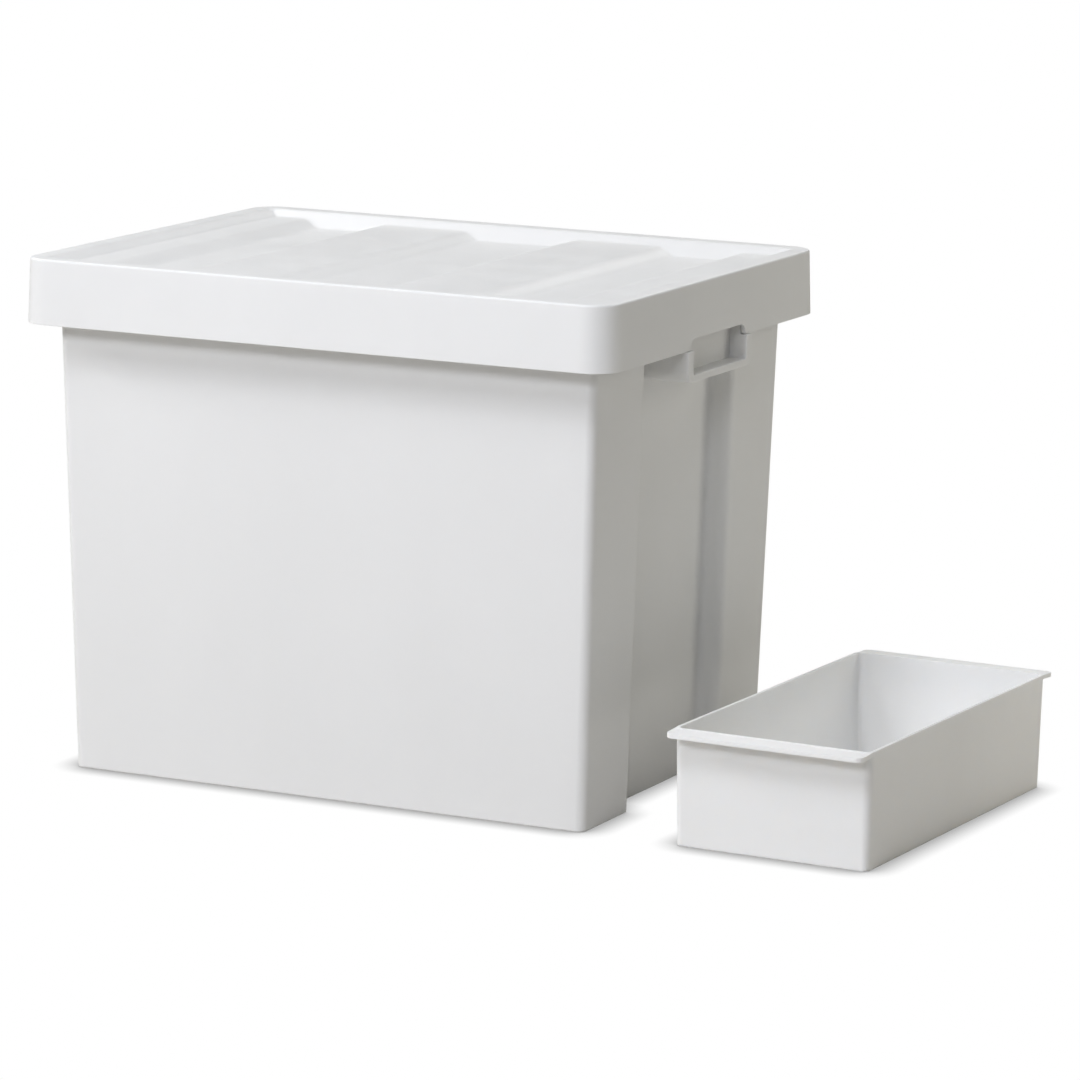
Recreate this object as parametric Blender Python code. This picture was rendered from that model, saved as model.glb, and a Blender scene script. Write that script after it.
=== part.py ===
"""Art supply storage box: a deep drafted tub with a grip at each end, a lift-off lid
with a tall skirt and a ribbed top, and a small loose tray that stands beside the tub
and can hang across its inner ledge.

Metres, +Z up. The origin is on the floor under the middle of the tub. X runs along
the tub's long side, towards the tray, and Y runs to the rear.
"""
import math

import bmesh
import bpy

# Walls and running gaps
WALL = 0.0024                   # moulded wall thickness
FIT_GAP = 0.0005                # gap where two pieces meet
ARC_STEPS = 5                   # straight steps in a rounded corner

# Lid: a skirt that flares outwards downwards, under a recessed, ribbed top
LID_LENGTH = 0.402              # at the top edge
LID_WIDTH = 0.307
LID_TOP_Z = 0.324
SKIRT_Z = 0.2834                # lower edge of the skirt
SKIRT_FLARE = 0.0356            # growth of each side per unit of height
LID_CORNER = 0.0173             # corner radius at the top edge
LID_EDGE = 0.0015               # rounding of the top edge
RIM_WIDTH = 0.0120              # flat border around the recessed top
PANEL_DROP = 0.0042             # border down to the top of the ribs
VALLEY_DROP = 0.0087            # border down to the floor between the ribs
PANEL_SLOPE = 1.9               # run of the sloped sides per unit of drop
RIB_CENTRE = 0.0699             # middle of the inner ribs, either side of the centre
RIB_HALF_TOP = 0.0305
RIB_SIDE = 0.0118               # run of a rib's sloped side
END_RIB_FOOT = 0.1455           # where the end ribs start to rise from the floor
NOTCH_HALF = 0.0404             # notch over a hand opening: half its length along Y
NOTCH_TOP_Z = 0.2900
NOTCH_CORNER = 0.0062

# Tub: drafted walls, a channel down each end, a ledge and a raised rim under the lid
TUB_LENGTH = 0.355              # at the floor
TUB_WIDTH = 0.256
TUB_DRAFT = 0.0248              # growth of each side per unit of height
TUB_CORNER = 0.0058
FLOOR_THICKNESS = 0.0026
CHANNEL_DEPTH = 0.0149
CHANNEL_HALF = 0.0629           # half the channel's width along Y, between its side walls
CHANNEL_EDGE = 0.0060           # rounding of its two outer edges
CHANNEL_FILLET = 0.0040         # rounding of its two inner corners
LEDGE_Z = 0.2835                # underside of the ledge
RIM_HALF_X = 0.1925             # outer face of the raised rim at the ledge
RIM_HALF_Y = 0.1453
RIM_CORNER = 0.012
RIM_TOP_Z = LID_TOP_Z - WALL - FIT_GAP
LIP_GAP = 0.0008                # rim lip to the inside of the skirt

# Grip: a cup that stands out of each channel, open upwards under the lid's notch,
# with two cheeks that carry its sides on up to the lip
GRIP_FACE_X = 0.2041
GRIP_HALF = 0.0468
GRIP_BOTTOM_Z = 0.2639
GRIP_CORNER = 0.0070
GRIP_HOLE_HALF = 0.0387         # hand opening: half its length along Y
GRIP_HOLE_CORNER = 0.0025
GRIP_FLOOR_Z = 0.2684           # bottom of the hand opening

# Tray
TRAY_LENGTH = 0.2552            # along Y, at the floor
TRAY_WIDTH = 0.1256
TRAY_HEIGHT = 0.0722
TRAY_DRAFT = 0.0233
TRAY_CORNER = 0.0040
TRAY_WALL = 0.0021
TRAY_LIP = 0.0127               # how far the lip at each short end stands out
TRAY_LIP_DROP = 0.0010          # fall of the lip from the wall's inside to its edge
TRAY_LIP_THICKNESS = 0.0026
TRAY_LIP_CORNER = 0.0050
TRAY_LIP_INSET = 0.0003         # the lip ends just short of the long walls' faces
TRAY_X = 0.3058                 # middle of the tray, standing beside the tub
TRAY_Y = -0.0029
TRAY_YAW = math.radians(-2.0)

# Polypropylene, very slightly different in tone between the mouldings
TUB_COLOUR = (0.80, 0.80, 0.79, 1.0)
LID_COLOUR = (0.82, 0.82, 0.82, 1.0)
TRAY_COLOUR = (0.83, 0.83, 0.82, 1.0)
PLASTIC_ROUGHNESS = 0.45

OVERSHOOT = 0.02                # how far a cutter runs past the face it cuts


def clear_objects():
    for item in list(bpy.data.objects):
        bpy.data.objects.remove(item, do_unlink=True)


def plastic(name, colour):
    material = bpy.data.materials.new(name)
    material.use_nodes = True
    shader = material.node_tree.nodes["Principled BSDF"]
    shader.inputs["Base Color"].default_value = colour
    shader.inputs["Roughness"].default_value = PLASTIC_ROUGHNESS
    shader.inputs["Metallic"].default_value = 0.0
    return material


def arc(cx, cy, radius, start):
    """Quarter circle about (cx, cy), anticlockwise from the angle start in degrees."""
    points = []
    for step in range(ARC_STEPS + 1):
        angle = math.radians(start + 90.0 * step / ARC_STEPS)
        points.append((cx + radius * math.cos(angle), cy + radius * math.sin(angle)))
    return points


def backwards(points):
    return list(reversed(points))


def rounded_rectangle(half_x, half_y, radius):
    points = arc(half_x - radius, half_y - radius, radius, 0)
    points += arc(-half_x + radius, half_y - radius, radius, 90)
    points += arc(-half_x + radius, -half_y + radius, radius, 180)
    points += arc(half_x - radius, -half_y + radius, radius, 270)
    return points


def loft(outlines):
    """Solid through a list of (outline, z), lowest first, closed at both ends."""
    mesh = bmesh.new()
    rings = []
    for outline, z in outlines:
        rings.append([mesh.verts.new((x, y, z)) for x, y in outline])
    for lower, upper in zip(rings, rings[1:]):
        for index in range(len(lower)):
            following = (index + 1) % len(lower)
            mesh.faces.new((lower[index], lower[following], upper[following], upper[index]))
    mesh.faces.new(backwards(rings[0]))
    mesh.faces.new(rings[-1])
    return mesh


def extrude_x(outline, low_x, high_x):
    """Solid with a (y, z) outline, anticlockwise seen from +X, between two X planes."""
    mesh = bmesh.new()
    near = [mesh.verts.new((low_x, y, z)) for y, z in outline]
    far = [mesh.verts.new((high_x, y, z)) for y, z in outline]
    for index in range(len(near)):
        following = (index + 1) % len(near)
        mesh.faces.new((near[index], near[following], far[following], far[index]))
    mesh.faces.new(backwards(near))
    mesh.faces.new(far)
    return mesh


def extrude_y(outline, low_y, high_y):
    """Solid with an (x, z) outline, clockwise seen from +Y, between two Y planes."""
    mesh = bmesh.new()
    near = [mesh.verts.new((x, low_y, z)) for x, z in outline]
    far = [mesh.verts.new((x, high_y, z)) for x, z in outline]
    for index in range(len(near)):
        following = (index + 1) % len(near)
        mesh.faces.new((near[following], near[index], far[index], far[following]))
    mesh.faces.new(near)
    mesh.faces.new(backwards(far))
    return mesh


def both_ends(make):
    """One mesh with make(+1) at the +X end and its half-turn copy at the -X end."""
    mesh = make()
    copied = bmesh.ops.duplicate(mesh, geom=mesh.verts[:] + mesh.edges[:] + mesh.faces[:])
    for item in copied["geom"]:
        if isinstance(item, bmesh.types.BMVert):
            item.co.x = -item.co.x
            item.co.y = -item.co.y
    return mesh


def add_object(name, mesh, material=None):
    bmesh.ops.recalc_face_normals(mesh, faces=mesh.faces)
    data = bpy.data.meshes.new(name)
    mesh.to_mesh(data)
    mesh.free()
    item = bpy.data.objects.new(name, data)
    bpy.context.scene.collection.objects.link(item)
    if material:
        data.materials.append(material)
    return item


def guide(name, mesh):
    """A helper solid that only cuts, or adds to, another object."""
    item = add_object(name, mesh)
    item.display_type = "WIRE"
    item.hide_render = True
    return item


def combine(target, operation, other):
    modifier = target.modifiers.new(f"{operation.lower()} {other.name}", "BOOLEAN")
    modifier.operation = operation
    modifier.solver = "EXACT"
    modifier.object = other


def smooth(item):
    item.data.shade_smooth()
    item.data.set_sharp_from_angle(angle=math.radians(20))


# ---------------------------------------------------------------- tub

def tub_outline(z, inset):
    grow = TUB_DRAFT * z - inset
    return rounded_rectangle(
        TUB_LENGTH / 2 + grow, TUB_WIDTH / 2 + grow, max(TUB_CORNER - inset, 0.002))


def channel(inset, low_z, high_z):
    """The channel down the +X end, grown inwards by inset; its floor follows the draft."""
    outlines = []
    for z in (low_z, high_z):
        side_x = TUB_LENGTH / 2 + TUB_DRAFT * z
        edge_x = side_x - CHANNEL_EDGE
        edge_y = CHANNEL_HALF + CHANNEL_EDGE
        corner_x = side_x - CHANNEL_DEPTH + CHANNEL_FILLET
        corner_y = CHANNEL_HALF - CHANNEL_FILLET
        edge = backwards(arc(edge_x, edge_y, CHANNEL_EDGE - inset, 270))
        corner = arc(corner_x, corner_y, CHANNEL_FILLET + inset, 90)
        half = [(GRIP_FACE_X + OVERSHOOT, edge_y)] + edge + corner
        outlines.append((half + [(x, -y) for x, y in backwards(half)], z))
    return loft(outlines)


def rim_outline(z, inset):
    grow = TUB_DRAFT * (z - LEDGE_Z) - inset
    return rounded_rectangle(RIM_HALF_X + grow, RIM_HALF_Y + grow, RIM_CORNER - inset)


def lip_grow():
    """From the lid's top edge to the edge of the tub's lip."""
    return SKIRT_FLARE * (LID_TOP_Z - RIM_TOP_Z) - WALL - LIP_GAP


def lip_outline():
    return rounded_rectangle(
        LID_LENGTH / 2 + lip_grow(), LID_WIDTH / 2 + lip_grow(), LID_CORNER - WALL)


def grip_profile(half, bottom, top, corner):
    """(y, z) outline with rounded lower corners."""
    points = [(half, top), (-half, top)]
    points += arc(-half + corner, bottom + corner, corner, 180)
    points += arc(half - corner, bottom + corner, corner, 270)
    return points


def grip_cheek(side):
    """Carries one side of the hand opening on up, behind the lid's skirt, to the lip."""
    inner = RIM_HALF_X - WALL / 2
    top = RIM_TOP_Z - WALL / 2
    face = LID_LENGTH / 2 + lip_grow()
    foot = face + SKIRT_FLARE * (RIM_TOP_Z - SKIRT_Z)
    outline = [(inner, GRIP_FLOOR_Z), (foot, GRIP_FLOOR_Z), (foot, SKIRT_Z), (face, top), (inner, top)]
    near = side * GRIP_HOLE_HALF
    far = side * (GRIP_HOLE_HALF + WALL)
    return extrude_y(outline, min(near, far), max(near, far))


def build_tub():
    low = -OVERSHOOT
    body_top = LEDGE_Z + WALL / 2
    tub = add_object("tub", loft([(tub_outline(0, 0), 0), (tub_outline(body_top, 0), body_top)]),
                     plastic("tub_plastic", TUB_COLOUR))
    channels = guide("tub_channels", both_ends(lambda: channel(0, low, RIM_TOP_Z)))
    combine(tub, "DIFFERENCE", channels)

    rim = guide("tub_rim", loft([
        (rim_outline(LEDGE_Z, 0), LEDGE_Z), (rim_outline(RIM_TOP_Z, 0), RIM_TOP_Z)]))
    lip = guide("tub_lip", loft([
        (lip_outline(), RIM_TOP_Z - WALL), (lip_outline(), RIM_TOP_Z)]))
    roots = guide("tub_grip_roots", both_ends(lambda: extrude_x(
        grip_profile(GRIP_HALF, GRIP_BOTTOM_Z, body_top, GRIP_CORNER),
        RIM_HALF_X - CHANNEL_DEPTH * 2, RIM_HALF_X)))
    rings = guide("tub_grip_rings", both_ends(lambda: extrude_x(
        grip_profile(GRIP_HALF, GRIP_BOTTOM_Z, SKIRT_Z - FIT_GAP, GRIP_CORNER),
        RIM_HALF_X - WALL / 2, GRIP_FACE_X)))
    near_cheeks = guide("tub_near_cheeks", both_ends(lambda: grip_cheek(-1)))
    far_cheeks = guide("tub_far_cheeks", both_ends(lambda: grip_cheek(1)))
    for addition in (rim, lip, roots, rings, near_cheeks, far_cheeks):
        combine(tub, "UNION", addition)

    high = RIM_TOP_Z + OVERSHOOT
    ledge_top = LEDGE_Z + WALL
    cavity_top = ledge_top + WALL
    cavity = guide("tub_cavity", loft([
        (tub_outline(FLOOR_THICKNESS, WALL), FLOOR_THICKNESS),
        (tub_outline(cavity_top, WALL), cavity_top)]))
    combine(cavity, "DIFFERENCE", guide(
        "tub_channel_walls", both_ends(lambda: channel(WALL, low, high))))
    rim_cavity = guide("tub_rim_cavity", loft([
        (rim_outline(ledge_top, WALL), ledge_top), (rim_outline(high, WALL), high)]))
    pockets = guide("tub_grip_pockets", both_ends(lambda: extrude_x(
        grip_profile(GRIP_HALF - WALL, GRIP_BOTTOM_Z + WALL, cavity_top, GRIP_CORNER - WALL),
        TUB_LENGTH / 2 - CHANNEL_DEPTH * 2, RIM_HALF_X - WALL)))
    hollows = guide("tub_hand_hollows", both_ends(lambda: extrude_x(
        grip_profile(GRIP_HOLE_HALF, GRIP_FLOOR_Z, SKIRT_Z - FIT_GAP / 4, GRIP_HOLE_CORNER),
        RIM_HALF_X, GRIP_FACE_X + OVERSHOOT)))
    for cut in (cavity, rim_cavity, pockets, hollows):
        combine(tub, "DIFFERENCE", cut)
    smooth(tub)


# ---------------------------------------------------------------- lid

def lid_outline(z, inset):
    grow = SKIRT_FLARE * (LID_TOP_Z - z) - inset
    return rounded_rectangle(LID_LENGTH / 2 + grow, LID_WIDTH / 2 + grow, LID_CORNER + grow)


def panel_recess(name, lower):
    """The hollow above the recessed top, or the same shape moved down by lower."""
    half_x = LID_LENGTH / 2 - RIM_WIDTH
    half_y = LID_WIDTH / 2 - RIM_WIDTH
    corner = LID_CORNER - RIM_WIDTH
    rise = OVERSHOOT
    outlines = []
    for drop in (VALLEY_DROP, -rise):
        shrink = drop * PANEL_SLOPE
        outlines.append((
            rounded_rectangle(half_x - shrink, half_y - shrink, max(corner - shrink, 0.002)),
            LID_TOP_Z - drop - lower))
    return guide(name, loft(outlines))


def rib_profiles(lower):
    """(x, z) outlines of the four ribs, each running past the recess's front and rear."""
    floor = LID_TOP_Z - VALLEY_DROP - lower
    top = LID_TOP_Z - PANEL_DROP - lower
    below = floor - OVERSHOOT
    end = LID_LENGTH / 2
    ribs = []
    for side in (-1, 1):
        centre = side * RIB_CENTRE
        half_foot = RIB_HALF_TOP + RIB_SIDE
        ribs.append([
            (centre - half_foot, below), (centre - half_foot, floor),
            (centre - RIB_HALF_TOP, top), (centre + RIB_HALF_TOP, top),
            (centre + half_foot, floor), (centre + half_foot, below)])
    ribs.append([(-end, below), (-end, top), (-END_RIB_FOOT - RIB_SIDE, top),
                 (-END_RIB_FOOT, floor), (-END_RIB_FOOT, below)])
    ribs.append([(END_RIB_FOOT, below), (END_RIB_FOOT, floor),
                 (END_RIB_FOOT + RIB_SIDE, top), (end, top), (end, below)])
    return ribs


def cut_ribs(recess, lower):
    for index, profile in enumerate(rib_profiles(lower)):
        rib = guide(f"{recess.name}_rib_{index}", extrude_y(profile, -LID_WIDTH, LID_WIDTH))
        combine(recess, "DIFFERENCE", rib)


def build_lid():
    rings = [(lid_outline(SKIRT_Z, 0), SKIRT_Z)]
    for step in range(4):
        angle = math.radians(30.0 * step)
        z = LID_TOP_Z - LID_EDGE * (1 - math.sin(angle))
        rings.append((lid_outline(z, LID_EDGE * (1 - math.cos(angle))), z))
    lid = add_object("lid", loft(rings), plastic("lid_plastic", LID_COLOUR))

    recess = panel_recess("lid_recess", 0)
    cut_ribs(recess, 0)
    combine(lid, "DIFFERENCE", recess)

    low = SKIRT_Z - OVERSHOOT
    ceiling = LID_TOP_Z - WALL
    hollow = guide("lid_hollow", loft([
        (lid_outline(low, WALL), low), (lid_outline(ceiling, WALL), ceiling)]))
    underside = panel_recess("lid_underside", WALL)
    cut_ribs(underside, WALL)
    combine(hollow, "DIFFERENCE", underside)
    combine(lid, "DIFFERENCE", hollow)

    notch = arc(NOTCH_HALF - NOTCH_CORNER, NOTCH_TOP_Z - NOTCH_CORNER, NOTCH_CORNER, 0)
    notch += arc(NOTCH_CORNER - NOTCH_HALF, NOTCH_TOP_Z - NOTCH_CORNER, NOTCH_CORNER, 90)
    notch += [(-NOTCH_HALF, low), (NOTCH_HALF, low)]
    combine(lid, "DIFFERENCE", guide("lid_notches", both_ends(
        lambda: extrude_x(notch, RIM_HALF_X, GRIP_FACE_X + OVERSHOOT))))
    smooth(lid)


# ---------------------------------------------------------------- tray

def tray_outline(z, inset):
    grow = TRAY_DRAFT * z - inset
    return rounded_rectangle(
        TRAY_WIDTH / 2 + grow, TRAY_LENGTH / 2 + grow, max(TRAY_CORNER + grow, 0.0015))


def tray_lip():
    """The lip at one short end: a plate that slopes slightly down to its edge."""
    root = TRAY_LENGTH / 2 - TRAY_CORNER
    edge = TRAY_LENGTH / 2 + TRAY_DRAFT * TRAY_HEIGHT + TRAY_LIP
    edge_top = TRAY_HEIGHT - TRAY_LIP_DROP
    outline = [(root, TRAY_HEIGHT - TRAY_LIP_THICKNESS), (edge, edge_top - TRAY_LIP_THICKNESS)]
    outline += [(edge, edge_top), (root, TRAY_HEIGHT)]
    return extrude_x(outline, -TRAY_WIDTH, TRAY_WIDTH)


def build_tray():
    top = TRAY_HEIGHT
    tray = add_object("tray", loft([
        (tray_outline(0, 0.0010), 0), (tray_outline(0.0010, 0), 0.0010),
        (tray_outline(top, 0), top)]), plastic("tray_plastic", TRAY_COLOUR))
    lips = guide("tray_lips", both_ends(tray_lip))
    grow = TRAY_DRAFT * top
    plan = rounded_rectangle(
        TRAY_WIDTH / 2 + grow - TRAY_LIP_INSET, TRAY_LENGTH / 2 + grow + TRAY_LIP, TRAY_LIP_CORNER)
    lip_plan = guide("tray_lip_plan", loft([(plan, top / 2), (plan, top + OVERSHOOT)]))
    cavity = guide("tray_cavity", loft([
        (tray_outline(TRAY_WALL, TRAY_WALL), TRAY_WALL),
        (tray_outline(top + OVERSHOOT, TRAY_WALL), top + OVERSHOOT)]))
    combine(lips, "INTERSECT", lip_plan)
    combine(tray, "UNION", lips)
    combine(tray, "DIFFERENCE", cavity)
    for item in (tray, lips, lip_plan, cavity):
        item.location = (TRAY_X, TRAY_Y, 0)
        item.rotation_euler = (0, 0, TRAY_YAW)
    smooth(tray)


clear_objects()
build_tub()
build_lid()
build_tray()
bpy.context.view_layer.update()
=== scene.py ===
"""Looks for the art supply box: tub, lid and loose tray as finely moulded white plastic,
with a pale floor, soft studio light and a long-lens camera. Metres, +Z up."""
import math

import bmesh
import bpy
from mathutils import Matrix, Vector


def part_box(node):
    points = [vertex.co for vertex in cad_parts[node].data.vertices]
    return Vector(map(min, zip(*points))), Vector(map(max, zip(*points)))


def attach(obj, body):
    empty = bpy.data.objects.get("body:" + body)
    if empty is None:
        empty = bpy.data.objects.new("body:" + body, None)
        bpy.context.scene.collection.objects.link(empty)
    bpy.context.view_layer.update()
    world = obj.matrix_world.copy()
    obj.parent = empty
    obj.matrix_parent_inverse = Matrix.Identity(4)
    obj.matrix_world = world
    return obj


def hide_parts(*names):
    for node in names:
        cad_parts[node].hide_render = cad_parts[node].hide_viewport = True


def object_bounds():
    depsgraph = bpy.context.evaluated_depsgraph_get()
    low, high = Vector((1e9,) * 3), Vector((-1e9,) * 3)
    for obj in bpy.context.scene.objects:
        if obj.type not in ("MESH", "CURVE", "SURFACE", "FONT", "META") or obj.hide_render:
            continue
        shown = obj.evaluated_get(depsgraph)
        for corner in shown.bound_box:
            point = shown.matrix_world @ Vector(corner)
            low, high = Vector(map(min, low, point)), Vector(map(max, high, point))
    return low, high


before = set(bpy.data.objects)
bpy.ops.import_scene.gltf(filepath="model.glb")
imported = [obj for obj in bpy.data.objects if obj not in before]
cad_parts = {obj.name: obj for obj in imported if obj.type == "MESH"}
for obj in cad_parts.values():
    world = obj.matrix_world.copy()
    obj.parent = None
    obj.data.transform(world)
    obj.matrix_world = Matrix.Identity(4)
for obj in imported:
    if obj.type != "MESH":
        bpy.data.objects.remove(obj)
cad_low, cad_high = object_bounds()
tub_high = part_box("tub")[1]
lid_low, lid_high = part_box("lid")
tray_low, tray_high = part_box("tray")

MM = 0.001

# ---- lid: sizes that the frame doesn't state are named here
WALL = 2.4 * MM
FIT_GAP = 0.5 * MM
SKIRT_FLARE = 0.0356
SKIRT_HEIGHT = lid_high.z - lid_low.z
LID_HALF_X = lid_high.x - SKIRT_FLARE * SKIRT_HEIGHT
LID_HALF_Y = lid_high.y - SKIRT_FLARE * SKIRT_HEIGHT
LID_CORNER = 17.3 * MM
LID_EDGE = 1.5 * MM             # rounding of the top outer edge
BORDER = 12.0 * MM              # flat border around the recessed top
RIB_DROP = 4.2 * MM             # border down to the ribs
VALLEY_DROP = 8.7 * MM          # border down to the floor between ribs
PANEL_SLOPE = 1.9               # run per unit of drop of the recess's sides
RIB_CENTRE = 69.9 * MM
RIB_HALF_TOP = 30.5 * MM
RIB_SIDE = 11.8 * MM
END_RIB_FOOT = 145.5 * MM
BORDER_BLEND = 1.6 * MM         # softness of the border's inner edge, along the run
FOOT_BLEND = 0.7 * MM           # softness of the recess's foot, in height
RIB_BLEND = 4.0 * MM            # softness of a rib's two long edges, along X
NOTCH_HALF = 40.4 * MM
NOTCH_TOP = 290.0 * MM
NOTCH_CORNER = 6.2 * MM

# ---- tub
TUB_HALF_X = 177.5 * MM
TUB_HALF_Y = 128.0 * MM
TUB_DRAFT = 0.0248
TUB_CORNER = 5.8 * MM
TUB_FOOT = 1.2 * MM             # rounding of the edge it stands on
FLOOR = 2.6 * MM
FLOOR_FILLET = 4.0 * MM
CHANNEL_DEPTH = 14.9 * MM
CHANNEL_HALF = 62.9 * MM
CHANNEL_EDGE = 6.0 * MM         # rounding of the channel's outer edges
CHANNEL_FILLET = 4.0 * MM       # rounding of the channel's inner corners
LEDGE = 283.5 * MM
RIM_HALF_X = 192.5 * MM
RIM_HALF_Y = 145.3 * MM
RIM_CORNER = 12.0 * MM
RIM_TOP = tub_high.z
LIP_HALF_X = LID_HALF_X + (tub_high.y - LID_HALF_Y)
LIP_HALF_Y = tub_high.y
GRIP_FACE = tub_high.x
GRIP_HALF = 46.8 * MM
GRIP_BOTTOM = 263.9 * MM
GRIP_CORNER = 7.0 * MM
GRIP_EDGE = 1.0 * MM            # rounding of the grip's outer edge
GRIP_ROOT = 2.0 * MM            # fillet where the grip leaves the channel
HOLE_HALF = 38.7 * MM           # hand opening: half its length along Y
HOLE_FLOOR = 268.4 * MM
HOLE_CORNER = 2.5 * MM
HOLE_MOUTH = 0.8 * MM           # rounding of the hand opening's edge
SOFT_EDGE = 0.6 * MM            # usual rounding of a moulded edge

# ---- tray
TRAY_YAW = math.radians(-2.0)
TRAY_HALF_X = 62.8 * MM
TRAY_HALF_Y = 127.6 * MM
TRAY_DRAFT = 0.0233
TRAY_CORNER = 4.0 * MM
TRAY_WALL = 2.1 * MM
TRAY_HEIGHT = tray_high.z - tray_low.z
TRAY_LIP = 12.7 * MM            # how far the lip at each short end stands out
TRAY_LIP_DROP = 1.0 * MM        # fall of the lip from the wall's inside to its edge
TRAY_LIP_THICKNESS = 2.6 * MM
TRAY_LIP_CORNER = 5.0 * MM
TRAY_LIP_INSET = 0.3 * MM       # the lip ends just short of the long walls' faces
TRAY_FOOT = 1.0 * MM
TRAY_FLOOR_FILLET = 3.0 * MM

# ---- fineness of the meshes
QUARTER = 90.0                  # degrees in a quarter turn
CORNER_STEPS = 10
FILLET_STEPS = 4
ROUND_STEPS = 6                 # small round corners and the floors' fillets
ROOT_STEPS = 5
WALL_RINGS = 6                  # rings up a tall wall
LOW_RINGS = 3                   # rings up a low wall
FLARE_RINGS = 5                 # rings up the lid's skirt
BORDER_RINGS = 2
RECESS_RINGS = 7                # rings down the side of the recessed top
LEAST_CORNER = 0.5 * MM         # no inner corner of the tub gets sharper than this
LEAST_EDGE = 0.4 * MM           # nor any inner edge of its channels
LEAST_TRAY_CORNER = 1.5 * MM
LAST_CORNER = 0.6 * MM          # radius left where the lid's rings meet its square grid

# steps along a quarter of the tub's outline, from the X axis to the Y axis
PANEL_STEPS = 6
INNER_STEPS = 7
SIDE_STEPS = 4
EDGE_STEPS = 5
POST_STEPS = 5
OUTER_STEPS = 8
FRONT_STEPS = 14
PANEL_START = 16                # its first point lies one part in 16 off the X axis
FRONT_END = 24                  # and its last one lies one part in 24 off the Y axis

# steps along a quarter of the tray's outline, and the same for its two ends
TRAY_LONG_STEPS = 12
TRAY_SHORT_STEPS = 8
TRAY_LONG_START = 24
TRAY_SHORT_END = 16

# grid of the lid's recessed top
GRID_FINE = 1.1 * MM
GRID_COARSE_X = 9 * MM
GRID_COARSE_Y = 10 * MM
GRID_MARGIN = 0.5 * MM          # fine steps go on this far past a rib's soft edge
GRID_END = 6 * MM               # fine steps at the short ends
GRID_FOOT = 5 * MM              # fine steps past the foot of the recess

SMOOTH_ANGLE = math.radians(40)
FLAT_WEIGHT = 80                # how strongly big faces hold the shading flat
LID_SHARP_EDGE = 0.5 * MM
LID_SHARP_STEPS = 2
LID_SHARP_ANGLE = math.radians(60)
TRAY_SHARP_STEPS = 3
TRAY_SHARP_ANGLE = math.radians(55)

# ---- looks
WHITE = (0.80, 0.80, 0.79)      # tub and lid
# painted light: a lighter copy of the tub's white, standing in for the extra light the tray gets
TRAY_WHITE = (0.87, 0.87, 0.86)
THICK_GLOW = 0.08               # share of light that wanders inside the tub and the lid
THIN_GLOW = 0.3                 # and inside the tray
GLOW_REACH = 5 * MM
REFRACTION = 1.49               # of polypropylene
FLOW_SCALE = 11.0               # this and the next four: how fine a noise is, per metre
SPECKLE_SCALE = 900.0
GLOSS_SCALE = 55.0
WAVE_SCALE = 8.0
GRAIN_SCALE = 1500.0
WAVE_HEIGHT = 1.2 * MM
GRAIN_HEIGHT = 0.12 * MM
DULLEST, GLOSSIEST = 0.50, 0.40
FLOOR_PALE = (0.61, 0.59, 0.55, 1)
FLOOR_DARK = (0.59, 0.57, 0.53, 1)
FLOOR_SIZE = 20                 # half the floor's side
PAPER_SCALE = 160.0
PAINTED_SHADOW_REACH = 20 * MM         # the camera sees a painted shadow on the floor this close to an object
PAINTED_SHADOW_DARK = 0.46             # how much of the floor's white stays right at an edge, in the painted shadow
PAINTED_SHADOW_FULL, PAINTED_SHADOW_GONE = 0.5, 0.97      # openness at an edge, and where the painted shadow ends

# ---- light and camera
COOL = (0.985, 1.0, 1.06)
PLAIN = (1.0, 1.0, 0.99)
WARM = (1.0, 0.98, 0.90)
ROOM_LIGHT = 0.01
LIGHT_AIM = Vector((0.06, 0.0, 0.14))
FAR = 2.6                       # distance of all the soft boxes but one
NEAR = 1.1
LENS = 178.5                    # mm
SENSOR = 36.0                   # mm
CAMERA_PLACE = (1.5322, -2.9442, 0.7702)
CAMERA_YAW, CAMERA_PITCH, CAMERA_ROLL = 0.4574, 0.1870, 0.0140
NEAR_CLIP, FAR_CLIP = 0.1, 100


# ================================================================ outlines

def arc(cx, cy, radius, start, steps=CORNER_STEPS):
    """Quarter circle of (x, y) points, anticlockwise from the start angle in degrees."""
    points = []
    for step in range(steps + 1):
        angle = math.radians(start + QUARTER * step / steps)
        points.append((cx + radius * math.cos(angle), cy + radius * math.sin(angle)))
    return points


def spread(start, stop, count):
    """Evenly spaced values from start to stop, with both, count steps apart."""
    return [start + (stop - start) * step / count for step in range(count + 1)]


def mirror_quarter(quarter):
    """Full outline from its points with x > 0 and y > 0, given from the X axis to the Y axis."""
    left = [(-x, y) for x, y in reversed(quarter)]
    below = [(-x, -y) for x, y in quarter]
    right = [(x, -y) for x, y in reversed(quarter)]
    return quarter + left + below + right


def fillet(radius, steps=FILLET_STEPS):
    """(inset, rise) pairs of a quarter round, from full inset at no rise to no inset."""
    pairs = []
    for step in range(steps + 1):
        angle = math.pi / 2 * step / steps
        pairs.append((radius * (1 - math.sin(angle)), radius * (1 - math.cos(angle))))
    return pairs


def backwards(pairs):
    return list(reversed(pairs))


# ================================================================ mesh helpers

def skin(mesh, rings):
    """Adds a skin through rings of 3-D points, all with the same count, and gives its rows."""
    rows = [[mesh.verts.new(point) for point in ring] for ring in rings]
    for lower, upper in zip(rows, rows[1:]):
        for index in range(len(lower)):
            after = (index + 1) % len(lower)
            mesh.faces.new((lower[index], lower[after], upper[after], upper[index]))
    return rows


def loft(rings):
    """Closed solid through rings of 3-D points."""
    mesh = bmesh.new()
    rows = skin(mesh, rings)
    mesh.faces.new(list(reversed(rows[0])))
    mesh.faces.new(rows[-1])
    return mesh


def flat_ring(outline, z):
    return [(x, y, z) for x, y in outline]


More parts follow.
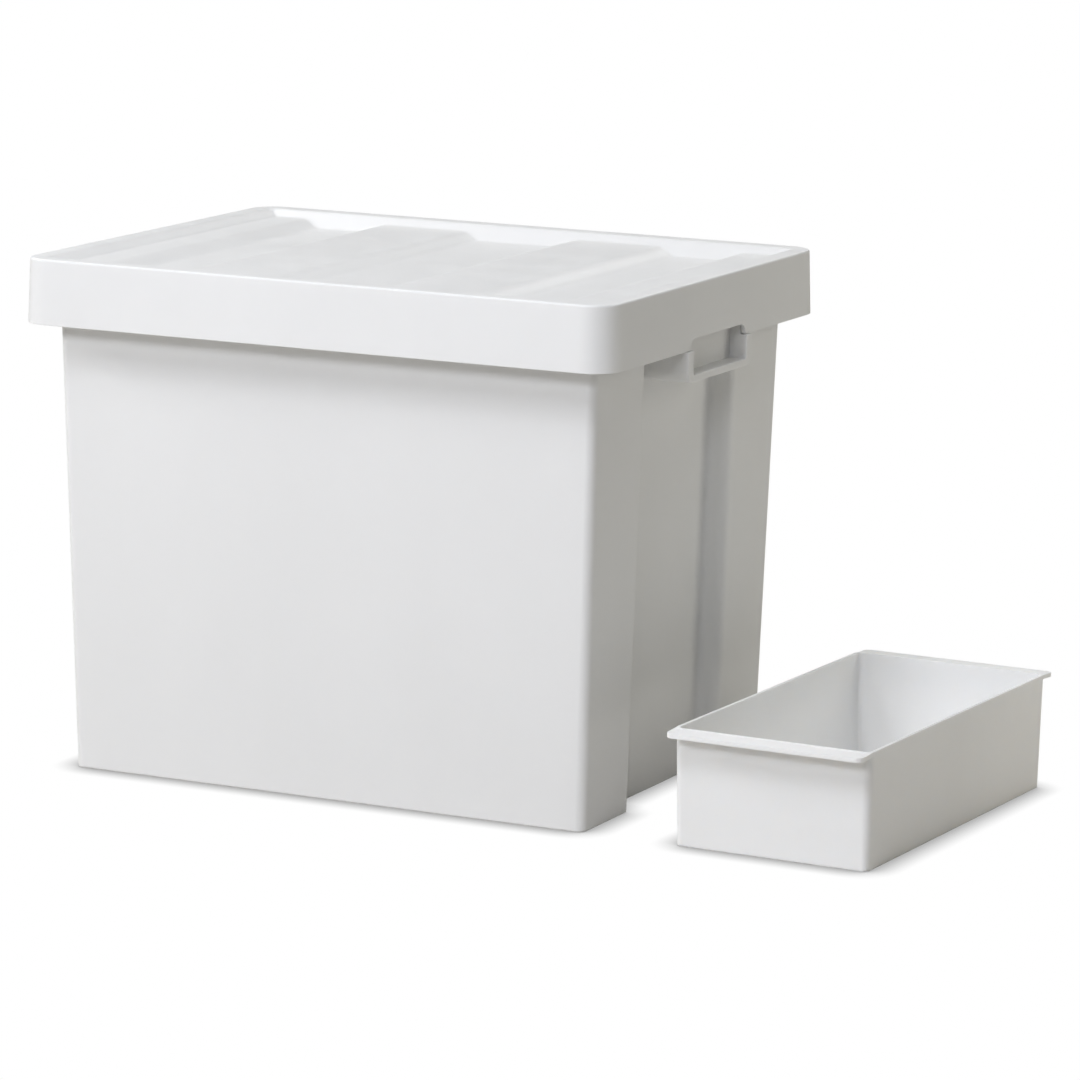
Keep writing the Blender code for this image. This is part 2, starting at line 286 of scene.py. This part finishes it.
def make_object(name, mesh):
    bmesh.ops.recalc_face_normals(mesh, faces=mesh.faces)
    data = bpy.data.meshes.new(name)
    mesh.to_mesh(data)
    mesh.free()
    item = bpy.data.objects.new(name, data)
    bpy.context.scene.collection.objects.link(item)
    return item


def apply_modifiers(item):
    graph = bpy.context.evaluated_depsgraph_get()
    data = bpy.data.meshes.new_from_object(item.evaluated_get(graph), depsgraph=graph)
    item.modifiers.clear()
    item.data = data


def carve(item, operation, tool_mesh):
    """Unites item with a solid, or cuts it by one."""
    tool = make_object("tool", tool_mesh)
    modifier = item.modifiers.new("carve", "BOOLEAN")
    modifier.operation = operation
    modifier.solver = "EXACT"
    modifier.object = tool
    apply_modifiers(item)
    bpy.data.objects.remove(tool)


def both_ends(mesh):
    """Adds the half-turn copy of a solid at the other end."""
    copied = bmesh.ops.duplicate(mesh, geom=mesh.verts[:] + mesh.edges[:] + mesh.faces[:])
    for part in copied["geom"]:
        if isinstance(part, bmesh.types.BMVert):
            part.co.x = -part.co.x
            part.co.y = -part.co.y
    return mesh


def round_sharp_edges(item, width, steps, limit):
    """Rounds every edge that turns by more than limit."""
    bevel = item.modifiers.new("rounding", "BEVEL")
    bevel.width = width
    bevel.segments = steps
    bevel.limit_method = "ANGLE"
    bevel.angle_limit = limit
    bevel.miter_outer = "MITER_ARC"
    apply_modifiers(item)


def finish_shading(item):
    """Smooth shading that keeps the big faces flat and the roundings round."""
    item.data.shade_smooth()
    item.data.set_sharp_from_angle(angle=SMOOTH_ANGLE)
    weighted = item.modifiers.new("flat faces stay flat", "WEIGHTED_NORMAL")
    weighted.keep_sharp = True
    weighted.weight = FLAT_WEIGHT
    apply_modifiers(item)


# ================================================================ tub

def channel_quarter(z, inset):
    """Quarter of the tub's outline with its end channel, moved inwards by inset."""
    half_x = TUB_HALF_X + TUB_DRAFT * z - inset
    half_y = TUB_HALF_Y + TUB_DRAFT * z - inset
    corner = max(TUB_CORNER - inset, LEAST_CORNER)
    edge = max(CHANNEL_EDGE - inset, LEAST_EDGE)
    inner = CHANNEL_FILLET + inset
    floor_x = TUB_HALF_X + TUB_DRAFT * z - CHANNEL_DEPTH - inset
    half = CHANNEL_HALF + inset
    points = [(floor_x, y) for y in spread(half / PANEL_START, half - inner, PANEL_STEPS)[:-1]]
    points += reversed(arc(floor_x + inner, half - inner, inner, 90, INNER_STEPS))
    points += [(x, half) for x in spread(floor_x + inner, half_x - edge, SIDE_STEPS)[1:-1]]
    points += arc(half_x - edge, half + edge, edge, 270, EDGE_STEPS)
    return points + corner_points(half_x, half_y, half + edge, corner)


def corner_points(half_x, half_y, start, corner):
    """The rest of a quarter outline, from start on the short side to the Y axis."""
    points = [(half_x, y) for y in spread(start, half_y - corner, POST_STEPS)[1:-1]]
    points += arc(half_x - corner, half_y - corner, corner, 0, OUTER_STEPS)
    points += [(x, half_y)
               for x in spread(half_x - corner, half_x / FRONT_END, FRONT_STEPS)[1:]]
    return points


def plain_quarter(half_x, half_y, corner):
    """Quarter of a rounded rectangle with the same number of points as channel_quarter."""
    start = CHANNEL_HALF - CHANNEL_FILLET
    end = CHANNEL_HALF + CHANNEL_EDGE
    across = INNER_STEPS + SIDE_STEPS + EDGE_STEPS
    points = [(half_x, y) for y in spread(CHANNEL_HALF / PANEL_START, start, PANEL_STEPS)[:-1]]
    points += [(half_x, y) for y in spread(start, end, across)]
    return points + corner_points(half_x, half_y, end, corner)


def body_ring(z, inset):
    return flat_ring(mirror_quarter(channel_quarter(z, inset)), z)


def rim_ring(z, inset):
    grow = TUB_DRAFT * (z - LEDGE) - inset
    return flat_ring(mirror_quarter(plain_quarter(
        RIM_HALF_X + grow, RIM_HALF_Y + grow, RIM_CORNER - inset)), z)


def lip_ring(z, inset):
    return flat_ring(mirror_quarter(plain_quarter(
        LIP_HALF_X - inset, LIP_HALF_Y - inset, LID_CORNER - WALL - inset)), z)


def build_tub():
    soft = SOFT_EDGE
    ledge_top = LEDGE + WALL
    lip_low = RIM_TOP - WALL
    rings = [body_ring(rise, inset) for inset, rise in fillet(TUB_FOOT)]
    rings += [body_ring(z, 0) for z in spread(TUB_FOOT, LEDGE - soft, WALL_RINGS)[1:]]
    rings += [body_ring(LEDGE - rise, -inset) for inset, rise in backwards(fillet(soft))][1:]
    rings += [rim_ring(LEDGE + rise, inset) for inset, rise in fillet(soft)]
    rings += [rim_ring(z, 0) for z in spread(LEDGE + soft, lip_low - soft, LOW_RINGS)[1:]]
    rings += [rim_ring(lip_low - rise, -inset) for inset, rise in backwards(fillet(soft))][1:]
    rings += [lip_ring(lip_low + rise, inset) for inset, rise in fillet(soft)]
    rings += [lip_ring(RIM_TOP - rise, inset) for inset, rise in backwards(fillet(soft))]
    rings += [rim_ring(RIM_TOP - rise, WALL - inset) for inset, rise in fillet(soft)]
    rings += [rim_ring(z, WALL)
              for z in spread(RIM_TOP - soft, ledge_top + soft, LOW_RINGS)[1:]]
    rings += [rim_ring(ledge_top + rise, WALL + inset)
              for inset, rise in backwards(fillet(soft))][1:]
    rings += [body_ring(ledge_top - rise, WALL - inset) for inset, rise in fillet(soft)]
    low = FLOOR + FLOOR_FILLET
    rings += [body_ring(z, WALL) for z in spread(ledge_top - soft, low, WALL_RINGS)[1:]]
    rings += [body_ring(FLOOR + rise, WALL + inset)
              for inset, rise in backwards(fillet(FLOOR_FILLET, ROUND_STEPS))][1:]
    tub = make_object("tub_moulding", loft(rings))
    carve(tub, "UNION", both_ends(grip_root()))
    carve(tub, "UNION", both_ends(grip_ring()))
    carve(tub, "UNION", both_ends(grip_cheek(-1)))
    carve(tub, "UNION", both_ends(grip_cheek(1)))
    carve(tub, "DIFFERENCE", both_ends(grip_pocket()))
    carve(tub, "DIFFERENCE", both_ends(hand_hollow()))
    return tub


def grip_outline(half, bottom, top, corner):
    """(y, z) outline with rounded lower corners."""
    points = arc(-half + corner, bottom + corner, corner, 180, ROUND_STEPS)
    points += arc(half - corner, bottom + corner, corner, 270, ROUND_STEPS)
    points += [(half, top), (-half, top)]
    return points


def loft_x(sections):
    """Solid through (x, (y, z) outline) sections."""
    return loft([[(x, y, z) for y, z in outline] for x, outline in sections])


def grip_section(x, grow, top):
    return x, grip_outline(GRIP_HALF + grow, GRIP_BOTTOM - grow, top, GRIP_CORNER + grow)


def grip_root():
    """The grip from the channel's floor, with a fillet there, out to the rim."""
    top = LEDGE + WALL / 2
    panel = TUB_HALF_X + TUB_DRAFT * GRIP_BOTTOM - CHANNEL_DEPTH
    sections = [grip_section(panel - WALL / 2, GRIP_ROOT, top)]
    sections += [grip_section(panel + rise, inset, top)
                 for inset, rise in fillet(GRIP_ROOT, ROOT_STEPS)]
    sections.append(grip_section(RIM_HALF_X, 0, top))
    return loft_x(sections)


def grip_ring():
    """The part of the grip that stands out past the rim, with its face edge rounded."""
    top = lid_low.z - FIT_GAP / 2
    sections = [grip_section(RIM_HALF_X - WALL / 2, 0, top)]
    sections += [grip_section(GRIP_FACE - rise, -inset, top)
                 for inset, rise in backwards(fillet(GRIP_EDGE))]
    return loft_x(sections)


def grip_cheek(side):
    """Carries one side of the hand opening on up, behind the lid's skirt, to the lip."""
    inner = RIM_HALF_X - WALL / 2
    rows = []
    for z in (HOLE_FLOOR, lid_low.z - FIT_GAP, RIM_TOP - WALL / 2):
        outer = LIP_HALF_X + SKIRT_FLARE * (RIM_TOP - max(z, lid_low.z))
        rows.append((outer, z))
    outline = [(inner, HOLE_FLOOR)] + rows + [(inner, RIM_TOP - WALL / 2)]
    return loft([[(x, side * y, z) for x, z in outline] for y in (HOLE_HALF, HOLE_HALF + WALL)])


def grip_pocket():
    """The inside of the grip's back, open to the inside of the tub."""
    outline = grip_outline(
        GRIP_HALF - WALL, GRIP_BOTTOM + WALL, LEDGE + WALL * 2, GRIP_CORNER - WALL)
    return loft_x([(TUB_HALF_X - CHANNEL_DEPTH * 2, outline), (RIM_HALF_X - WALL, outline)])


def hand_hollow():
    """The hand opening in the grip's face, with a rounded mouth."""
    top = lid_low.z - FIT_GAP / 4

    def section(x, grow):
        return x, grip_outline(HOLE_HALF + grow, HOLE_FLOOR - grow, top, HOLE_CORNER + grow)

    sections = [section(RIM_HALF_X, 0)]
    sections += [section(GRIP_FACE - inset, rise) for inset, rise in fillet(HOLE_MOUTH)]
    sections.append(section(GRIP_FACE + CHANNEL_DEPTH, HOLE_MOUTH))
    return loft_x(sections)


# ================================================================ lid

def soft_ramp(value, blend):
    """max(value, 0) with its corner rounded over blend to either side."""
    if value <= -blend:
        return 0.0
    if value >= blend:
        return value
    return (value + blend) ** 2 / (4 * blend)


def soft_min(a, b, blend):
    return a - soft_ramp(a - b, blend)


def rib_depth(x):
    """How far the recessed top lies below the border at this X, away from its edges."""
    x = abs(x)
    rise = VALLEY_DROP - RIB_DROP

    def step(start):
        slope = soft_ramp(x - start, RIB_BLEND) - soft_ramp(x - start - RIB_SIDE, RIB_BLEND)
        return rise * slope / RIB_SIDE

    inner = RIB_CENTRE - RIB_HALF_TOP - RIB_SIDE
    outer = RIB_CENTRE + RIB_HALF_TOP
    return VALLEY_DROP - step(inner) + step(outer) - step(END_RIB_FOOT)


def panel_depth(x, inward):
    """Depth below the border at X, for a point that lies inward from the lid's top edge."""
    side = soft_ramp(inward - BORDER, BORDER_BLEND) / PANEL_SLOPE
    return soft_min(side, rib_depth(x), FOOT_BLEND)


def stations(limit, busy, fine, coarse):
    """Positions from 0 to limit, a fine step apart inside the busy stretches."""
    places = [0.0]
    marks = sorted({edge for stretch in busy for edge in stretch} | {limit})
    for mark in marks:
        start = places[-1]
        if mark <= start or mark > limit:
            continue
        middle = (start + mark) / 2
        dense = any(low < middle < high for low, high in busy)
        count = max(1, round((mark - start) / (fine if dense else coarse)))
        places += spread(start, mark, count)[1:]
    return places


def lid_grid():
    """Symmetric X and Y positions of the recessed top's grid."""
    inner_x = LID_HALF_X - LID_CORNER
    inner_y = LID_HALF_Y - LID_CORNER
    margin = RIB_BLEND + GRID_MARGIN
    sides = [RIB_CENTRE - RIB_HALF_TOP - RIB_SIDE, RIB_CENTRE + RIB_HALF_TOP, END_RIB_FOOT]
    busy_x = [(side - margin, side + RIB_SIDE + margin) for side in sides]
    busy_x.append((inner_x - GRID_END, inner_x))
    foot = PANEL_SLOPE * VALLEY_DROP + BORDER - LID_CORNER + GRID_FOOT
    busy_y = [(inner_y - foot, inner_y)]
    xs = stations(inner_x, busy_x, GRID_FINE, GRID_COARSE_X)
    ys = stations(inner_y, busy_y, GRID_FINE, GRID_COARSE_Y)
    xs = [-x for x in reversed(xs[1:])] + xs
    ys = [-y for y in reversed(ys[1:])] + ys
    return xs, ys


def lid_ring(xs, ys, inset, z):
    """Ring of the lid's outline moved inwards by inset, starting at the +X side's front end."""
    half_x = LID_HALF_X - inset
    half_y = LID_HALF_Y - inset
    corner = LID_CORNER - inset
    cx = LID_HALF_X - LID_CORNER
    cy = LID_HALF_Y - LID_CORNER
    points = [(half_x, y) for y in ys]
    points += arc(cx, cy, corner, 0)[1:-1]
    points += [(x, half_y) for x in reversed(xs)]
    points += arc(-cx, cy, corner, 90)[1:-1]
    points += [(-half_x, y) for y in reversed(ys)]
    points += arc(-cx, -cy, corner, 180)[1:-1]
    points += [(x, -half_y) for x in xs]
    points += arc(cx, -cy, corner, 270)[1:-1]
    return [(x, y, z) for x, y in points]


def build_lid():
    xs, ys = lid_grid()
    top = lid_high.z
    recess = spread(BORDER - BORDER_BLEND, LID_CORNER - LAST_CORNER, RECESS_RINGS)
    flat = spread(LID_EDGE, BORDER - BORDER_BLEND, BORDER_RINGS)

    def flared(z, inset):
        return lid_ring(xs, ys, inset - SKIRT_FLARE * (top - z), z)

    def topped(inset, lowered):
        side = soft_ramp(inset - BORDER, BORDER_BLEND) / PANEL_SLOPE
        return lid_ring(xs, ys, inset, top - side - lowered)

    outer = [flared(z, 0) for z in spread(lid_low.z, top - LID_EDGE, FLARE_RINGS)]
    outer += [flared(top - rise, inset) for inset, rise in backwards(fillet(LID_EDGE))][1:]
    outer += [topped(inset, 0) for inset in flat[1:] + recess[1:]]
    soft = SOFT_EDGE
    ceiling = top - WALL
    inner = [flared(z, WALL) for z in spread(lid_low.z, ceiling - soft, FLARE_RINGS)]
    inner += [flared(ceiling - rise, WALL + inset) for inset, rise in backwards(fillet(soft))][1:]
    inner += [topped(inset, WALL) for inset in recess]
    mesh = bmesh.new()
    sheets = [skin(mesh, outer), skin(mesh, inner)]
    first, second = sheets[0][0], sheets[1][0]
    for index in range(len(first)):
        after = (index + 1) % len(first)
        mesh.faces.new((first[index], second[index], second[after], first[after]))
    for rows, lowered in zip(sheets, (0, WALL)):
        close_lid_top(mesh, xs, ys, rows[-1], lowered)
    lid = make_object("lid_moulding", mesh)
    carve(lid, "DIFFERENCE", both_ends(notch_solid()))
    round_sharp_edges(lid, LID_SHARP_EDGE, LID_SHARP_STEPS, LID_SHARP_ANGLE)
    return lid


def close_lid_top(mesh, xs, ys, last, lowered):
    """Joins the last round-cornered ring to a square-cornered grid and fills it."""
    side = soft_ramp(LID_CORNER - BORDER, BORDER_BLEND) / PANEL_SLOPE
    z = lid_high.z - side - lowered
    columns, rows = len(xs), len(ys)
    grid = []
    for i, x in enumerate(xs):
        column = []
        for j, y in enumerate(ys):
            inward = min(LID_HALF_X - abs(x), LID_HALF_Y - abs(y))
            border = i in (0, columns - 1) or j in (0, rows - 1)
            height = z if border else lid_high.z - panel_depth(x, inward) - lowered
            column.append(mesh.verts.new((x, y, height)))
        grid.append(column)
    for i in range(columns - 1):
        for j in range(rows - 1):
            mesh.faces.new((grid[i][j], grid[i + 1][j], grid[i + 1][j + 1], grid[i][j + 1]))
    between = [None] * (CORNER_STEPS - 1)
    around = [grid[-1][j] for j in range(rows)] + [grid[-1][-1] for _ in between]
    around += [grid[i][-1] for i in reversed(range(columns))] + [grid[0][-1] for _ in between]
    around += [grid[0][j] for j in reversed(range(rows))] + [grid[0][0] for _ in between]
    around += [grid[i][0] for i in range(columns)] + [grid[-1][0] for _ in between]
    for index in range(len(last)):
        after = (index + 1) % len(last)
        corners = [last[index], last[after], around[after], around[index]]
        unique = []
        for corner in corners:
            if corner not in unique:
                unique.append(corner)
        if len(unique) > 2:
            mesh.faces.new(unique)


def notch_solid():
    """Cuts the rounded notch over a hand opening out of the skirt."""
    low = lid_low.z - LID_CORNER
    side, height = NOTCH_HALF - NOTCH_CORNER, NOTCH_TOP - NOTCH_CORNER
    outline = [(NOTCH_HALF, low)]
    outline += arc(side, height, NOTCH_CORNER, 0, ROUND_STEPS)
    outline += arc(-side, height, NOTCH_CORNER, 90, ROUND_STEPS)
    outline += [(-NOTCH_HALF, low)]
    return loft_x([(RIM_HALF_X, outline), (GRIP_FACE + CHANNEL_DEPTH, outline)])


# ================================================================ tray

def tray_ring(z, inset):
    grow = TRAY_DRAFT * z - inset
    half_x = TRAY_HALF_X + grow
    half_y = TRAY_HALF_Y + grow
    corner = max(TRAY_CORNER + grow, LEAST_TRAY_CORNER)
    long_side = spread(half_y / TRAY_LONG_START, half_y - corner, TRAY_LONG_STEPS)
    short_side = spread(half_x - corner, half_x / TRAY_SHORT_END, TRAY_SHORT_STEPS)
    quarter = [(half_x, y) for y in long_side[:-1]]
    quarter += arc(half_x - corner, half_y - corner, corner, 0)
    quarter += [(x, half_y) for x in short_side[1:]]
    return flat_ring(mirror_quarter(quarter), z)


def tray_lip():
    """The lip at the rear end: a plate that slopes slightly down to its rounded edge."""
    grow = TRAY_DRAFT * TRAY_HEIGHT
    root = TRAY_HALF_Y - TRAY_CORNER
    edge = TRAY_HALF_Y + grow + TRAY_LIP
    half = TRAY_HALF_X + grow - TRAY_LIP_INSET
    corner = TRAY_LIP_CORNER
    outline = [(-half, root), (half, root)]
    outline += arc(half - corner, edge - corner, corner, 0)
    outline += arc(corner - half, edge - corner, corner, 90)
    rings = []
    for lowered in (TRAY_LIP_THICKNESS, 0):
        rings.append([(x, y, TRAY_HEIGHT - lowered - TRAY_LIP_DROP * (y - root) / (edge - root))
                      for x, y in outline])
    return loft(rings)


def tray_cavity():
    """The inside of the tray, carried on above its top."""
    low = TRAY_WALL + TRAY_FLOOR_FILLET
    top = TRAY_HEIGHT + TRAY_LIP
    rings = [tray_ring(TRAY_WALL + rise, TRAY_WALL + inset)
             for inset, rise in fillet(TRAY_FLOOR_FILLET, ROUND_STEPS)]
    rings += [tray_ring(z, TRAY_WALL) for z in spread(low, top, LOW_RINGS)[1:]]
    return loft(rings)


def build_tray():
    rings = [tray_ring(rise, inset) for inset, rise in fillet(TRAY_FOOT)]
    rings += [tray_ring(z, 0) for z in spread(TRAY_FOOT, TRAY_HEIGHT, LOW_RINGS)[1:]]
    tray = make_object("tray_moulding", loft(rings))
    carve(tray, "UNION", both_ends(tray_lip()))
    carve(tray, "DIFFERENCE", tray_cavity())
    round_sharp_edges(tray, SOFT_EDGE, TRAY_SHARP_STEPS, TRAY_SHARP_ANGLE)
    centre = (tray_low + tray_high) / 2
    tray.data.transform(Matrix.Translation((centre.x, centre.y, tray_low.z))
                        @ Matrix.Rotation(TRAY_YAW, 4, "Z"))
    return tray


# ================================================================ materials

class Nodes:
    """Short way to add and wire the nodes of one material or world."""

    def __init__(self, owner):
        owner.use_nodes = True
        self.tree = owner.node_tree
        self.tree.nodes.clear()

    def add(self, kind, settings=None, **inputs):
        node = self.tree.nodes.new("ShaderNode" + kind)
        for key, value in (settings or {}).items():
            setattr(node, key, value)
        for key, value in inputs.items():
            socket = node.inputs[key.replace("_", " ")]
            if isinstance(value, bpy.types.NodeSocket):
                self.tree.links.new(value, socket)
            else:
                socket.default_value = value
        return node

    def noise(self, where, scale, detail=2.0, roughness=0.5):
        return self.add("TexNoise", Vector=where, Scale=scale, Detail=detail,
                        Roughness=roughness).outputs["Fac"]

    def remap(self, value, low, high, to_low, to_high):
        node = self.add("MapRange", Value=value)
        node.inputs["From Min"].default_value = low
        node.inputs["From Max"].default_value = high
        node.inputs["To Min"].default_value = to_low
        node.inputs["To Max"].default_value = to_high
        return node.outputs["Result"]

    def maths(self, operation, first, second):
        node = self.add("Math", {"operation": operation})
        for socket, value in zip(node.inputs, (first, second)):
            if isinstance(value, bpy.types.NodeSocket):
                self.tree.links.new(value, socket)
            else:
                socket.default_value = value
        return node.outputs[0]

    def mix(self, factor, first, second):
        node = self.add("Mix", {"data_type": "RGBA"})
        for index, value in ((0, factor), (6, first), (7, second)):
            if isinstance(value, bpy.types.NodeSocket):
                self.tree.links.new(value, node.inputs[index])
            else:
                node.inputs[index].default_value = value
        return node.outputs[2]


def shade(colour, factor):
    return (*(channel * factor for channel in colour), 1.0)


def plastic(name, colour, shift, glow):
    """Moulded white polypropylene: fine grain from the mould, faint flow marks in its tone
    and gloss, long low waves where it cooled, and edges a little polished by handling. Glow
    is the share of light that wanders inside, more in thin walls."""
    material = bpy.data.materials.new(name)
    n = Nodes(material)
    spot = n.add("Mapping", Vector=n.add("TexCoord").outputs["Object"],
                 Location=shift).outputs["Vector"]
    flow = n.noise(n.add("Mapping", Vector=spot, Scale=(1.0, 1.0, 0.35)).outputs["Vector"],
                   FLOW_SCALE, 3.0, 0.55)
    speckle = n.noise(spot, SPECKLE_SCALE, 2.0, 0.6)
    tone = n.mix(n.remap(flow, 0.3, 0.7, 0.0, 1.0), shade(colour, 0.985), shade(colour, 1.008))
    pointiness = n.add("NewGeometry").outputs["Pointiness"]
    edge = n.maths("MULTIPLY", n.remap(pointiness, 0.51, 0.58, 0.0, 1.0),
                   n.remap(speckle, 0.35, 0.65, 0.4, 1.0))
    tone = n.mix(n.maths("MULTIPLY", edge, 0.3), tone, shade(colour, 1.03))
    gloss = n.remap(n.noise(spot, GLOSS_SCALE, 4.0, 0.6), 0.3, 0.7, GLOSSIEST, DULLEST)
    gloss = n.maths("SUBTRACT", gloss, n.maths("MULTIPLY", edge, 0.06))
    waves = n.add("Bump", Height=n.noise(spot, WAVE_SCALE, 1.0), Strength=0.35,
                  Distance=WAVE_HEIGHT)
    grain = n.add("Bump", Height=n.noise(spot, GRAIN_SCALE, 3.0, 0.7), Strength=0.25,
                  Distance=GRAIN_HEIGHT, Normal=waves.outputs["Normal"])
    shader = n.add("BsdfPrincipled", Base_Color=tone, Roughness=gloss, IOR=REFRACTION,
                   Subsurface_Weight=glow, Subsurface_Scale=GLOW_REACH,
                   Subsurface_Radius=(1.0, 0.9, 0.8), Normal=grain.outputs["Normal"])
    n.add("OutputMaterial", Surface=shader.outputs["BSDF"])
    return material


# ================================================================ stage

def floor_paint():
    """A white sweep that the camera sees as plain white emission, with a contact shadow painted
    in from ambient occlusion near the objects; other rays see a plain diffuse floor.
    """
    material = bpy.data.materials.new("floor")
    n = Nodes(material)
    paper = n.noise(n.add("TexCoord").outputs["Object"], PAPER_SCALE, 3.0)
    white = n.mix(n.remap(paper, 0.35, 0.65, 0.0, 1.0), FLOOR_DARK, FLOOR_PALE)
    plain = n.add("BsdfDiffuse", Color=white)
    # painted contact shadow: the camera sees white emission, dimmed where ambient occlusion finds
    # an object close
    painted_shadow_mask = n.add("AmbientOcclusion", {"samples": 32}, Distance=PAINTED_SHADOW_REACH).outputs["AO"]
    shown = n.add("Emission", Color=(1, 1, 1, 1),
                  Strength=n.remap(painted_shadow_mask, PAINTED_SHADOW_FULL, PAINTED_SHADOW_GONE, PAINTED_SHADOW_DARK, 1.0))
    whole = n.add("MixShader")
    n.tree.links.new(n.add("LightPath").outputs["Is Camera Ray"], whole.inputs[0])
    n.tree.links.new(plain.outputs[0], whole.inputs[1])
    n.tree.links.new(shown.outputs[0], whole.inputs[2])
    n.add("OutputMaterial", Surface=whole.outputs[0])
    return material


def build_floor():
    mesh = bmesh.new()
    bmesh.ops.create_grid(mesh, x_segments=1, y_segments=1, size=FLOOR_SIZE)
    floor = make_object("floor", mesh)
    floor.location.z = cad_low.z
    floor.data.materials.append(floor_paint())


def build_world(strength, tint):
    """Even light from all round; the camera sees plain white behind the floor."""
    world = bpy.data.worlds.new("studio")
    bpy.context.scene.world = world
    n = Nodes(world)
    room = n.add("Background", Color=(*tint, 1.0), Strength=strength)
    white = n.add("Background", Color=(1, 1, 1, 1), Strength=1.0)
    whole = n.add("MixShader")
    n.tree.links.new(n.add("LightPath").outputs["Is Camera Ray"], whole.inputs[0])
    n.tree.links.new(room.outputs[0], whole.inputs[1])
    n.tree.links.new(white.outputs[0], whole.inputs[2])
    n.add("OutputWorld", Surface=whole.outputs[0])


def softbox(name, azimuth, elevation, distance, size, strength, tint):
    """Square light aimed at the box. Azimuth is in degrees from the front, + to the right."""
    turn, rise = math.radians(azimuth), math.radians(elevation)
    way = Vector((math.sin(turn) * math.cos(rise), -math.cos(turn) * math.cos(rise),
                  math.sin(rise)))
    data = bpy.data.lights.new(name, "AREA")
    data.shape = "SQUARE"
    data.size = size
    data.energy = strength * distance ** 2
    data.color = tint
    light = bpy.data.objects.new(name, data)
    bpy.context.scene.collection.objects.link(light)
    light.location = LIGHT_AIM + way * distance
    light.rotation_mode = "QUATERNION"
    light.rotation_quaternion = (-way).to_track_quat("-Z", "Y")


def light_rig():
    """Soft boxes in front and above, at the left and behind, with only weak ones at the right."""
    build_world(ROOM_LIGHT, WARM)
    softbox("key", -17, 26, FAR, 0.45, 2.55, COOL)
    softbox("front", -5, 52, FAR, 0.8, 3.05, COOL)
    softbox("high", 0, 60, FAR, 0.7, 1.6, COOL)
    softbox("front_right", 20, 25, FAR, 0.7, 1.05, COOL)
    softbox("left", -75, 27, FAR, 0.7, 3.0, PLAIN)
    softbox("left_rear", -120, 40, FAR, 0.7, 2.5, PLAIN)
    softbox("high_right", 60, 60, FAR, 0.7, 0.5, PLAIN)
    softbox("rear", 180, 40, FAR, 0.7, 2.2, PLAIN)
    softbox("right_rear", 120, 20, NEAR, 0.6, 2.0, WARM)


def build_camera():
    """Long lens, from the front right and a little above."""
    data = bpy.data.cameras.new("camera")
    data.sensor_width = SENSOR
    data.lens = LENS
    data.clip_start = NEAR_CLIP
    data.clip_end = FAR_CLIP
    camera = bpy.data.objects.new("camera", data)
    bpy.context.scene.collection.objects.link(camera)
    camera.matrix_world = (
        Matrix.Translation(CAMERA_PLACE)
        @ Matrix.Rotation(CAMERA_YAW, 4, "Z")
        @ Matrix.Rotation(math.pi / 2 - CAMERA_PITCH, 4, "X")
        @ Matrix.Rotation(CAMERA_ROLL, 4, "Z"))
    bpy.context.scene.camera = camera


# ================================================================ the whole object

def place(piece, body, colour, shift, glow):
    """Finishes a moulding, lets it stand for its CAD node and ride on its body. Shift moves
    the noise, so that no two mouldings carry the same marks."""
    finish_shading(piece)
    piece.data.materials.clear()
    piece.data.materials.append(plastic(body + "_plastic", colour, shift, glow))
    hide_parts(body)
    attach(piece, body)


place(build_tub(), "tub", WHITE, (0.0, 0.0, 0.0), THICK_GLOW)
place(build_lid(), "lid", WHITE, (3.1, 1.7, 0.4), THICK_GLOW)
place(build_tray(), "tray", TRAY_WHITE, (7.3, 2.9, 1.1), THIN_GLOW)

build_floor()
light_rig()
build_camera()
bpy.context.scene.view_settings.view_transform = "Standard"
